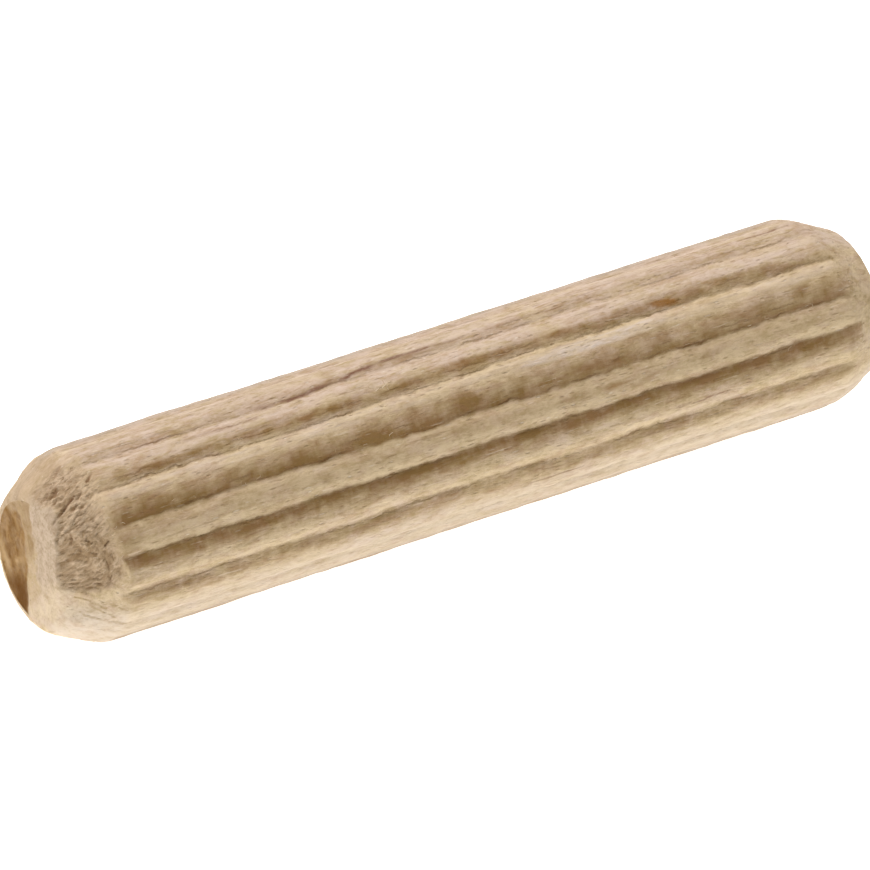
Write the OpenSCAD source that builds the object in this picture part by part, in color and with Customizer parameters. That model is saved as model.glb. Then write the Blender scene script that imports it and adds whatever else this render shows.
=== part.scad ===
// Fluted wooden dowel pin, 8 x 40 mm nominal.
// One piece of turned beech: a round pin with sixteen rounded ridges pressed
// along its length and a long, slightly bowed chamfer at each end.
// Frame: the pin's axis is X, the origin is at mid-length on the axis, +Z is up.
// A valley points straight down, so the pin lies on two neighbouring ridges.

/* [Pin] */
// Overall length of the pin, end face to end face
pin_l = 40; // [20:1:80]
// Diameter over the crests of the ridges
crest_d = 8.3; // [7.6:0.1:9.0]

/* [Flutes] */
// Number of ridges around the pin
ridge_n = 16; // [14:2:18]
// Radius of the rounded crest of each ridge
ridge_r = 1.15; // [0.95:0.05:1.4]

/* [Ends] */
// Length of the chamfer along the axis
chamfer_l = 2.35; // [1.5:0.05:3.5]
// Diameter of the flat end face, measured where the chamfer would meet it sharply
face_d = 5.8; // [4.6:0.1:6.4]
// How far the chamfer bows outwards from a straight cone
chamfer_bow = 0.12; // [0.04:0.02:0.2]
// Radius of the worn rim between the end face and the chamfer
rim_r = 0.3; // [0.1:0.05:0.5]

/* [Hidden] */
// Finer than any visible step, and read as true curves
$fn = 96;
crest_r = crest_d / 2;
// Ridge centres stand on this circle
ridge_c = crest_r - ridge_r;
ridge_pitch = 360 / ridge_n;
// The round middle that the ridges merge into, below the floor of the valleys
core_r = ridge_c + 0.35 * ridge_r;
// The valley floor, where two neighbouring ridges meet
valley_r = ridge_c * cos(ridge_pitch / 2)
    + sqrt(pow(ridge_r, 2) - pow(ridge_c * sin(ridge_pitch / 2), 2));

// Chamfer: an arc from the sharp corner of the end face to the crest circle.
// Points are [radius, distance in from the end].
cham_a = [face_d / 2, 0];
cham_b = [crest_r + 0.02, chamfer_l];
cham_chord = norm(cham_b - cham_a);
cham_dir = (cham_b - cham_a) / cham_chord;
cham_out = [cham_dir[1], -cham_dir[0]];
cham_steps = 6;
function cham_pt(t) = cham_a + cham_dir * cham_chord * t + cham_out * chamfer_bow * 4 * t * (1 - t);

// Rim: an arc tangent to the end face and to the first stretch of the chamfer
rim_dir = (cham_pt(1 / cham_steps) - cham_a) / norm(cham_pt(1 / cham_steps) - cham_a);
rim_turn = atan2(rim_dir[1], rim_dir[0]);
rim_set = min(rim_r * tan(rim_turn / 2), 0.9 * norm(cham_pt(1 / cham_steps) - cham_a));
rim_real_r = rim_set / tan(rim_turn / 2);
rim_c = [cham_a[0] - rim_set, rim_real_r];
rim_steps = 4;
function rim_pt(t) = rim_c + rim_real_r * [sin(rim_turn * t), -cos(rim_turn * t)];

// One end of the outline, from the axis out to the crest
end_pts = concat(
    [[0, 0]],
    [for (i = [0 : rim_steps]) rim_pt(i / rim_steps)],
    [for (i = [1 : cham_steps]) cham_pt(i / cham_steps)]
);

// Half outline of the chamfered blank, turned about the pin's axis
module blank_outline() {
    polygon(concat(
        [for (p = end_pts) [p[0], p[1] - pin_l / 2]],
        [for (i = [len(end_pts) - 1 : -1 : 0]) [end_pts[i][0], pin_l / 2 - end_pts[i][1]]]
    ));
}

// Chamfered blank before fluting
module blank() {
    rotate_extrude() blank_outline();
}

// The ridged bar: rounded ridges around a round core, longer than the pin
module ridged_bar() {
    cylinder(h = pin_l + 2, r = core_r, center = true);
    for (i = [0 : ridge_n - 1])
        rotate([0, 0, (i + 0.5) * ridge_pitch])
            translate([ridge_c, 0, 0])
                cylinder(h = pin_l + 2, r = ridge_r, center = true);
}

// The whole pin, lying along X
module dowel_pin() {
    color("BurlyWood")
        rotate([0, 90, 0])
            intersection() {
                ridged_bar();
                blank();
            }
}

dowel_pin();
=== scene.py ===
import math
import bpy
import numpy as np
from mathutils import Vector, Matrix


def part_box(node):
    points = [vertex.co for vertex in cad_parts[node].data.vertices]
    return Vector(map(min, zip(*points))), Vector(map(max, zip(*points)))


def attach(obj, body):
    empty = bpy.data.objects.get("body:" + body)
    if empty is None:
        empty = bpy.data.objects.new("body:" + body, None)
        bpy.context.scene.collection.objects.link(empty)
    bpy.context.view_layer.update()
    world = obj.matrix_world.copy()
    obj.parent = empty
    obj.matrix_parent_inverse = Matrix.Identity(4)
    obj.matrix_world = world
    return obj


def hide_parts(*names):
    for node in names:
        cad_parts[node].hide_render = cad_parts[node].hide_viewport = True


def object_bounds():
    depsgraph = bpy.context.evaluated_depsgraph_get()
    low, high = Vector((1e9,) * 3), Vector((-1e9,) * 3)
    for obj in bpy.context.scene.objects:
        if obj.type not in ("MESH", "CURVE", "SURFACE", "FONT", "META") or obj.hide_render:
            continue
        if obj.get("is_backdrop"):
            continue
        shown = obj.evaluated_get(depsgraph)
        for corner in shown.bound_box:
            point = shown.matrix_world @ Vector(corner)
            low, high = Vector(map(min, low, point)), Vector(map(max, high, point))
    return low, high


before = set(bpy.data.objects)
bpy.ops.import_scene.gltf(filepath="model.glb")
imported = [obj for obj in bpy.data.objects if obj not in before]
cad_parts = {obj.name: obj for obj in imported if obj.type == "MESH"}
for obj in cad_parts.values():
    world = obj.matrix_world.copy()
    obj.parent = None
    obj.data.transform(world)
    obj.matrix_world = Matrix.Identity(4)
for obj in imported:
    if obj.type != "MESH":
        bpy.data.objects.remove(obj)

CAD_LO, CAD_HI = (tuple(v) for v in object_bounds())
MM = 0.001

# ------------------------------------------------------------------ camera
# A long lens looking down at the pin from its near end, turned a few degrees.
cam_data = bpy.data.cameras.new("camera")
cam_data.lens = 451.97
cam_data.sensor_width = 36.0
cam_data.clip_start, cam_data.clip_end = 0.02, 20.0
cam = bpy.data.objects.new("camera", cam_data)
bpy.context.scene.collection.objects.link(cam)
cam_rot = Matrix(((0.84032562, 0.27101533, -0.46947156),
                  (-0.53884748, 0.51208331, -0.66889018),
                  (0.05912906, 0.81505912, 0.57635265)))
cam.matrix_world = Matrix.Translation(Vector((-0.212815, -0.302534, 0.260442))) @ cam_rot.to_4x4()
bpy.context.scene.camera = cam

# ------------------------------------------------------------------ sizes, from the frame
lo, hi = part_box("dowel_pin")
HALF = (hi[0] - lo[0]) / 2 / MM            # half the length, mm
FLAT_R = (hi[2] - lo[2]) / 2 / MM          # height of the axis above what the pin lies on, mm
RIDGES = 16
RIDGE_R = 1.15
PITCH = 360.0 / RIDGES
RIDGE_C = (FLAT_R - RIDGE_R) / math.cos(math.radians(PITCH / 2))
CREST_R = RIDGE_C + RIDGE_R
UP = 49.25                                  # world up, as an angle round the pin from the side that faces the camera


# ------------------------------------------------------------------ noise
def _hash(ix, iy, iz, seed):
    h = (ix.astype(np.int64) * 374761393 + iy.astype(np.int64) * 668265263
         + iz.astype(np.int64) * 2147483647 + seed * 974634777) & 0xFFFFFFFF
    h = ((h ^ (h >> 13)) * 1274126177) & 0xFFFFFFFF
    h = (h ^ (h >> 16)) & 0xFFFFFFFF
    h = (h * 2246822519) & 0xFFFFFFFF
    return ((h ^ (h >> 15)) & 0xFFFFFF).astype(np.float64) / 0xFFFFFF


def vnoise(x, y, z, seed):
    """Smooth value noise, -1 to 1."""
    fx, fy, fz = np.floor(x), np.floor(y), np.floor(z)
    ux, uy, uz = x - fx, y - fy, z - fz
    ux, uy, uz = (u * u * u * (u * (u * 6 - 15) + 10) for u in (ux, uy, uz))
    out = 0.0
    for a in (0, 1):
        wa = ux if a else 1 - ux
        for b in (0, 1):
            wb = uy if b else 1 - uy
            for c in (0, 1):
                wc = uz if c else 1 - uz
                out = out + wa * wb * wc * _hash(fx + a, fy + b, fz + c, seed)
    return out * 2 - 1


def fbm(x, y, z, seed, octaves=3, gain=0.5):
    total, amp, norm, f = 0.0, 1.0, 0.0, 1.0
    for i in range(octaves):
        total = total + amp * vnoise(x * f + 17.3 * i, y * f - 9.1 * i, z * f + 4.7 * i, seed + i * 31)
        norm += amp
        amp *= gain
        f *= 2.03
    return total / norm


def cells(x, y, z, seed):
    """Distance to the nearest and second nearest scattered point, and the nearest one's own number."""
    fx, fy, fz = np.floor(x), np.floor(y), np.floor(z)
    d1 = np.full(x.shape, 9.0); d2 = np.full(x.shape, 9.0); own = np.zeros(x.shape)
    for a in (-1, 0, 1):
        for b in (-1, 0, 1):
            for c in (-1, 0, 1):
                ix, iy, iz = fx + a, fy + b, fz + c
                px = ix + _hash(ix, iy, iz, seed)
                py = iy + _hash(ix, iy, iz, seed + 1)
                pz = iz + _hash(ix, iy, iz, seed + 2)
                d = np.sqrt((px - x) ** 2 + (py - y) ** 2 + (pz - z) ** 2)
                near = d < d1
                d2 = np.where(near, d1, np.minimum(d2, d))
                own = np.where(near, _hash(ix, iy, iz, seed + 3), own)
                d1 = np.where(near, d, d1)
    return d1, d2, own


def smooth(a, b, x):
    t = np.clip((x - a) / (b - a), 0, 1)
    return t * t * (3 - 2 * t)


def smin(a, b, k):
    h = np.clip(0.5 + 0.5 * (b - a) / k, 0, 1)
    return b + (a - b) * h - k * h * (1 - h)


# ------------------------------------------------------------------ outline of the blank
FACE_R, CHAM_L, BOW, RIM = 2.9, 2.35, 0.12, 0.55


def chamfer_point(t):
    a = np.array([FACE_R, 0.0]); b = np.array([CREST_R + 0.02, CHAM_L])
    ch = np.linalg.norm(b - a); d = (b - a) / ch; o = np.array([d[1], -d[0]])
    return a + d * ch * t + o * BOW * 4 * t * (1 - t)


def chamfer_curve():
    """Radius against distance in from the end, from the rim to past the crest."""
    pts = np.array([chamfer_point(t) for t in np.linspace(0, 1.25, 120)])
    return pts[:, 1], pts[:, 0]


CH_D, CH_R = chamfer_curve()


def meridian(n_face, n_rim, n_cham, n_body, far_cham):
    """Stations over one end, from the centre of its face round the rim and down the chamfer: (distance in from the end,
    radius).
    """
    rim_dir = chamfer_point(0.08) - chamfer_point(0.0)
    turn = math.atan2(rim_dir[1], rim_dir[0])
    setb = RIM * math.tan(turn / 2)
    c = np.array([FACE_R - setb, RIM])
    face = [(0.0, r) for r in np.linspace(0.06, c[0] - 0.02, n_face)]
    rim = [(c[1] - RIM * math.cos(turn * t), c[0] + RIM * math.sin(turn * t)) for t in np.linspace(0.0, 1.0, n_rim)]
    d0 = rim[-1][0]
    cham = [(d, np.interp(d, CH_D, CH_R)) for d in np.linspace(d0, CHAM_L * 1.15, n_cham + 1)[1:]]
    return face, rim, cham


def stations():
    face, rim, cham = meridian(22, 9, 38, 0, 0)
    face2, rim2, cham2 = meridian(13, 7, 22, 0, 0)
    near = [(-HALF + d, r) for d, r in face + rim + cham]
    far = [(HALF - d, r) for d, r in face2 + rim2 + cham2][::-1]
    n_body = 300 - len(near) - len(far)
    body = [(x, 99.0) for x in np.linspace(near[-1][0], far[0][0], n_body + 2)[1:-1]]
    x = np.array([p[0] for p in near + body + far])
    r = np.array([p[1] for p in near + body + far])
    return x, r, len(face), len(face2)


NT = 320
SX, SR, N_FACE, N_FACE2 = stations()
NS = len(SX)
TURN = np.linspace(-180, 180, 7201)                     # the columns stand a little closer on the marked side
CLOSE = np.cumsum(1.0 + 0.55 * smooth(110, 80, np.abs(TURN)))
THETA = np.interp(np.arange(NT) / NT * (CLOSE[-1] - CLOSE[0]) + CLOSE[0], CLOSE, TURN)
X = np.repeat(SX[:, None], NT, 1)
T = np.repeat(THETA[None, :], NS, 0)

# ------------------------------------------------------------------ ridges
VALLEYS = UP + PITCH * np.arange(-8, 9)      # regular valley places
SHIFT = np.zeros(17)
SHIFT[[0, 16]] = 0.3
for place, move in ((49.25, -0.8), (26.75, -1.0), (4.25, -1.6), (-18.25, 1.5), (-40.75, 1.9), (-63.25, 1.0)):
    SHIFT[int(round((place - UP) / PITCH)) + 8] = move


def ridge_coord(theta, wander):
    """Which ridge, and where on it from -1 to 1, for each angle."""
    th = (theta + wander - (UP - 180)) % 360 + (UP - 180)
    v = VALLEYS + SHIFT
    i = np.clip(np.searchsorted(v, th.ravel()).reshape(th.shape) - 1, 0, 15)
    i = np.where(th < v[0], 15, i)
    left, right = v[i], v[i + 1]
    t = (th - (left + right) / 2) / ((right - left) / 2)
    return i, np.clip(t, -1, 1)


th_r = np.radians(T)
arc = 4.0
CY, CZ = np.cos(th_r) * arc, np.sin(th_r) * arc
wander = 1.3 * fbm(X / 4.0, CY / 1.4, CZ / 1.4, 11, 3) + 1.0 * fbm(X / 1.3, CY / 0.9, CZ / 0.9, 12, 3) + 0.8 * vnoise(X / 0.42, CY / 0.5, CZ / 0.5, 14)
wander += 1.3 * smooth(17, 24, X + HALF) * smooth(-52, -44, T) * smooth(-28, -34, T)       # one valley runs a little lower towards the far end
wander += 1.4 * smooth(14, 30, X + HALF) * smooth(-9, -4, T) * smooth(15, 9, T)
wander -= 1.2 * smooth(17, 21, X + HALF) * smooth(35, 31, X + HALF) * smooth(17, 21, T) * smooth(40, 34, T)
wander -= (1.4 * smooth(7.5, 4.0, X + HALF) + 0.7 * smooth(9.5, 11.5, X + HALF) * smooth(20, 18, X + HALF)) * smooth(-32, -26, T) * smooth(-6, -11, T)
ridge_id, tt = ridge_coord(T, wander)
t_abs = np.abs(tt)
t_abs = 1 - (np.sqrt((1 - t_abs) ** 2 + 0.17 ** 2) - 0.05)   # the valley floor is rounded, not a crease
t_abs = np.clip(t_abs, 0, 1)
# depth below the crest: a rounded back, then a steeper flank down to the valley
depth_of = {49.25: 0.70, 71.75: 0.60, -40.75: 0.80, -63.25: 0.40, -85.75: 0.60}
deep = np.ones(16); 
for place, share in depth_of.items():
    deep[(int(round((((place - UP) + 180) % 360 - 180) / PITCH)) + 8) % 16] = share
near_valley = np.where(tt < 0, ridge_id, (ridge_id + 1) % 16)
ridge_high = 0.012 * np.sin(ridge_id * 2.4 + 0.7)
press = deep[near_valley] * (1 + 0.45 * fbm(X / 2.6, CY / 2.0, CZ / 2.0, 13, 3))
section = CREST_R + ridge_high - press * (0.080 * t_abs ** 2 + 0.175 * t_abs ** 4)

R = smin(section, np.repeat(np.where(SR > 50, 99.0, SR)[:, None], NT, 1), np.where(X < 0, 0.13, 0.06))
face_like = np.zeros(NS, bool)
face_like[:N_FACE] = True
face_like[NS - N_FACE2:] = True
R[face_like] = SR[face_like][:, None]

# ------------------------------------------------------------------ place the clean surface
A = np.radians(UP - T)                                  # from world up towards the camera side
P = np.stack([X, -np.sin(A) * R, np.cos(A) * R], -1)
XL = X + HALF                                           # distance from the near end
XR = HALF - X                                           # distance from the far end


def normals(P):
    du = np.gradient(P, axis=0)
    dv = (np.roll(P, -1, 1) - np.roll(P, 1, 1)) / 2
    n = np.cross(du, dv)
    n /= np.linalg.norm(n, axis=-1, keepdims=True) + 1e-12
    out = P.copy(); out[..., 0] = np.where(np.abs(P[..., 0]) > HALF - 0.6, P[..., 0], 0)
    flip = (n * out).sum(-1) < 0
    return np.where(flip[..., None], -n, n)


N = normals(P)
N[:N_FACE - 1] = (-1, 0, 0)
N[NS - N_FACE2 + 1:] = (1, 0, 0)

# length along the outline from the centre of the near face, and the arc round the pin
step = np.hypot(np.diff(SX), np.diff(np.where(SR > 50, CREST_R, SR)))
S = np.repeat(np.concatenate([[0], np.cumsum(step)])[:, None], NT, 1)
ARC = np.radians((T + 180) % 360 - 180) * np.maximum(R, 0.5)
PX, PY, PZ = P[..., 0], P[..., 1], P[..., 2]

on_face = np.zeros(NS); on_face[:N_FACE] = 1
far_face = np.zeros(NS); far_face[NS - N_FACE2:] = 1
NEAR_FACE = np.repeat(on_face[:, None], NT, 1)
FAR_FACE = np.repeat(far_face[:, None], NT, 1)
ANY_FACE = np.maximum(NEAR_FACE, FAR_FACE)
shank = smooth(2.0, 2.6, XL) * smooth(1.9, 2.5, XR)
FP, FQ = R * np.cos(np.radians(T)), R * np.sin(np.radians(T))   # places on the faces: towards the camera side, and up


def band(theta, lo, hi, soft):
    return smooth(lo - soft, lo + soft, theta) * (1 - smooth(hi - soft, hi + soft, theta))


TH = (T + 180) % 360 - 180
ragged = fbm(PX / 0.7, PY / 0.5, PZ / 0.5, 401, 3)
fine = fbm(PX / 0.25, PY / 0.2, PZ / 0.2, 402, 2)

# the two ends aren't turned quite true: the near one is fuller on the side turned away, the far one all round
grow = 0.13 * band((T + 320) % 360 - 180, -40, 50, 18) * smooth(1.4, 0.0, XL) + 0.15 * smooth(0.9, 0.0, XR)
grow += 0.14 * smooth(2.2, 0.8, XR) * band(TH, -125, -42, 16) - 0.12 * smooth(1.7, 0.9, XL) * band(TH, 72, 150, 16)
P[..., 1:] *= (1 + grow / np.where(ANY_FACE > 0, 2.9, np.maximum(R, 2.9)))[..., None]
PY, PZ = P[..., 1], P[..., 2]

# low down the edge of the face is broken away: a flat slope runs from inside the face's edge out to the middle of the chamfer
SLOPE = 0.93
beyond = FP - 2.36 - 0.56 * FQ
over = SLOPE * (beyond + 0.05 * ragged * smooth(1.2, 0.3, XL)) - XL
ease = 0.06 + 0.30 * smooth(0.2, 1.0, XL) + 0.25 * smooth(-34, -64, TH)
cut = 0.5 * (over + np.sqrt(over ** 2 + ease ** 2)) * band(TH, -96, 34, 9) * smooth(2.5, 1.9, XL)
P[..., 0] += np.where(XL < 2.6, cut, 0)
PX = P[..., 0]
N = np.where((cut > 0.004)[..., None] & (XL < 2.6)[..., None] & (R > 1.2)[..., None], normals(P), N)

# ------------------------------------------------------------------ relief
H = np.zeros_like(X)
H += 0.022 * fbm(PX / 6.0, PY / 2.2, PZ / 2.2, 51, 2) * shank                       # the bar isn't quite straight
H += 0.020 * fbm(PX / 2.6, PY / 0.30, PZ / 0.30, 52, 3) * (1 - ANY_FACE)            # long grain
H += 0.014 * fbm(PX / 0.45, PY / 0.8, PZ / 0.8, 53, 2) * shank                      # chatter from the rollers
H += 0.034 * fbm(PX / 1.4, PY / 0.7, PZ / 0.7, 56, 4, 0.6) * shank * (1 - 0.5 * band(T, 62, 125, 8))                       # lumps along the ridges
d1, d2, own = cells(PX / 1.1, PY / 0.26, PZ / 0.26, 54)
H -= 0.035 * smooth(0.26, 0.05, d1) * (own < 0.22) * shank                          # short open pores
raised, _, own2 = cells(PX / 1.6, PY / 0.30, PZ / 0.30, 55)
H += 0.022 * smooth(0.34, 0.08, raised) * (own2 < 0.15) * shank                     # lifted fibres
H -= 0.02

# torn fibres on the near chamfer, on the side that the cutter left rough; low down they run in over the rim
lean = ARC - 0.34 * S
near_cham = 1 - smooth(2.05, 2.5, XL + 0.25 * ragged)
inner = 0.20 + 0.16 * ragged + 0.30 * smooth(20, 30, TH) - 0.34 * smooth(33, 40, TH)
over_rim = smooth(-0.05, 0.09, FP - 2.40 - 0.56 * FQ + 0.10 * ragged)
open_up = np.where(TH > 14, smooth(inner - 0.12, inner + 0.12, XL), over_rim)
low_edge = np.interp(XL, (0.0, 0.5, 1.1, 1.6, 2.4), (-42, -38, -31.5, -28, -25))
torn = near_cham * open_up * (1 - smooth(52, 62, TH + 5 * ragged)) * smooth(-3.5, 3.5, TH - low_edge + 4 * ragged)
torn = torn * (1 - smooth(1.25, 2.15, XL + 0.35 * ragged) * (1 - 0.55 * smooth(14, 30, TH)))
upper = smooth(-6, 10, TH)
relief_share = 0.55 + 0.45 * upper
around_near = near_cham * 0.16 * (1 - torn) * smooth(0.1, 0.4, XL) * (1 - NEAR_FACE)
rough_near = np.maximum(torn * relief_share, around_near)
c1, c2, cown = cells(S / 0.62 + 0.5 * ragged, lean / 0.135 + 0.4 * fine, 0 * S + 3.5, 61)
g1, g2, gown = cells(S / 0.36 + 0.5 * ragged, ARC / 0.30 + 0.5 * ragged, 0 * S + 7.5, 64)
h1, h2, hown = cells(S / 0.33 + 0.3 * ragged, lean / 0.085, 0 * S + 5.5, 65)
shingle = lean / 0.165 + 1.3 * fbm(S / 0.55, lean / 0.30, 0 * S + 2.5, 66, 3)
saw = shingle - np.floor(shingle)
saw = saw * smooth(1.0, 0.86, saw)                       # rises slowly along each chip, then drops
lifted = smooth(-0.25, 0.45, fbm(S / 0.38, lean / 0.16, 0 * S + 6.5, 67, 3))
H += rough_near * upper * 0.13 * (saw - 0.45) * lifted
H += rough_near * (0.050 * (cown - 0.55) - 0.016 * smooth(0.22, 0.02, c2 - c1)) * (0.35 + 0.65 * upper)
H += rough_near * (0.066 * (hown - 0.5) - 0.015 * smooth(0.20, 0.02, h2 - h1))
H += rough_near * (0.075 + 0.035 * upper) * fbm(S / 0.36, lean / 0.17, 0 * S, 62, 4, 0.6)
H += rough_near * (0.125 * (gown - 0.5) - 0.06 * smooth(0.16, 0.02, g2 - g1)) * (1 - 0.8 * upper)
H -= 0.05 * torn

H -= 0.085 * np.exp(-((S - 2.92) / 0.42) ** 2) * band(TH, -96, 14, 12)                # low down the rim is worn round
# a calmer version of the same at the far end
rough_far = (1 - smooth(1.9, 2.3, XR)) * smooth(0.15, 0.5, XR) * (1 - FAR_FACE)
e1, e2, eown = cells(S / 0.6, ARC / 0.22, 0 * S + 9.5, 63)
H += rough_far * (0.020 * (eown - 0.5) - 0.018 * smooth(0.20, 0.02, e2 - e1))


def crack(x0, t0, x1, t1, width, depth):
    """A split in the near chamfer between two places, each given as distance from the end and angle."""
    r = 3.6
    ax, ay, bx, by = x0, math.radians(t0) * r, x1, math.radians(t1) * r
    px, py = XL + 0.07 * fine, np.radians(TH) * r + 0.06 * ragged + 0.035 * fine
    vx, vy = bx - ax, by - ay
    t = np.clip(((px - ax) * vx + (py - ay) * vy) / (vx * vx + vy * vy), 0, 1)
    d = np.hypot(px - ax - vx * t, py - ay - vy * t)
    w = width * (0.35 + 0.65 * np.sin(np.pi * np.clip(t, 0.08, 0.92)))
    return depth * smooth(w * 1.2, w * 0.1, d) * (np.abs(TH) < 120) * (1 - ANY_FACE)


CRACKS = [(1.20, 33.5, 0.30, 24.8, 0.085, 0.17), (0.55, 28.0, 0.09, 22.5, 0.07, 0.12), (2.28, 40.0, 1.86, 36.6, 0.08, 0.16), (1.62, 59.0, 1.05, 54.0, 0.06, 0.10),
          (0.82, 44.0, 0.45, 41.0, 0.11, 0.13), (1.30, 49.5, 0.75, 45.5, 0.06, 0.10), (0.93, -17.0, 0.92, -22.5, 0.055, 0.10), (0.86, -25.5, 0.83, -28.5, 0.05, 0.08),
          (0.42, 10.5, 0.06, 2.0, 0.06, 0.11), (1.75, 24.0, 1.30, 20.0, 0.05, 0.07), (1.05, 14.0, 0.70, 10.0, 0.05, 0.07), (1.52, -4.2, 1.24, -6.0, 0.06, 0.08),
          (0.42, -29.0, 0.12, -30.5, 0.05, 0.09), (0.24, -22.8, 0.20, -25.5, 0.06, 0.09), (1.9, 52.0, 1.6, 49.5, 0.05, 0.07), (0.16, -4.0, 0.10, -8.0, 0.05, 0.08), (0.95, -27.5, 0.90, -31.0, 0.05, 0.10), (0.30, -33.0, 0.62, -34.5, 0.05, 0.10), (0.48, -8.0, 0.70, -10.5, 0.05, 0.08),
          (0.62, 1.5, 0.80, -2.0, 0.05, 0.09), (1.30, -12.0, 1.36, -16.0, 0.045, 0.08), (0.34, -14.0, 0.52, -15.5, 0.045, 0.08), (1.10, 27.0, 0.80, 23.0, 0.05, 0.10), (1.55, 33.0, 1.25, 29.5, 0.05, 0.09),
          (0.95, 20.0, 0.62, 15.5, 0.045, 0.09), (1.85, 29.5, 1.62, 27.0, 0.04, 0.07),
          (0.55, 46.8, 0.10, 43.0, 0.075, 0.13), (0.90, 46.5, 0.28, 41.0, 0.08, 0.14), (1.00, 50.5, 0.55, 47.5, 0.06, 0.11), (0.62, 37.5, 0.22, 34.0, 0.06, 0.10)]
cracks = np.zeros_like(X)
for c in CRACKS:
    cracks = np.maximum(cracks, crack(*c))
H -= 0.75 * cracks * near_cham

# near face: the side away from the cutter is burnt brown and lies a little lower, then comes a lighter step, then the pale flat
wob = (0.27 * ragged + 0.12 * fine) * (1 - 0.6 * smooth(-0.8, -1.4, FQ))
edge_in = np.where(FQ > 0.96, 0.16 + 0.06 * (FQ - 0.96), 0.16 + 0.62 * (FQ - 0.96)) - 0.14 * smooth(-0.8, -1.5, FQ)
edge_out = 0.36 + 0.42 * FQ
deep_side = smooth(0.13, -0.13, FP - edge_in + wob) * smooth(2.90, 2.74, R) * NEAR_FACE * (1 - smooth(2.05, 2.45, FQ + 0.2 * ragged) * smooth(-0.75, -0.3, FP))
step_side = smooth(0.22, -0.20, FP - edge_out + 1.6 * wob) * smooth(2.86, 2.55, R) * NEAR_FACE
H += NEAR_FACE * (-0.020 * smooth(0.45, -0.45, FP - edge_in + wob) * smooth(2.86, 2.2, R) - 0.018 * smooth(0.30, -0.30, FP - edge_out + wob) * smooth(2.86, 2.2, R)
                  + 0.016 * fbm(PX, PY / 0.16, PZ / 0.16, 71, 3) + 0.03 * fbm(PX, PY / 0.7, PZ / 0.7, 72, 2))
H -= NEAR_FACE * 0.05 * np.exp(-((FP + 1.60 - 0.40 * (FQ + 1.1) + 0.10 * ragged) / 0.36) ** 2 - ((FQ + 1.1) / 0.75) ** 2)
# far face: sawn straight, with open end grain
f1, f2, fown = cells(PX * 0, PY / 0.22, PZ / 0.22, 73)
H += FAR_FACE * (0.012 * fbm(PX, PY / 0.15, PZ / 0.15, 74, 3) - 0.03 * smooth(0.3, 0.1, f1) * (fown < 0.4)
                 + 0.010 * np.sin(PZ / 0.16 + 1.2 * fbm(PX, PY / 1.5, PZ / 1.5, 75, 2)))
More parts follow.
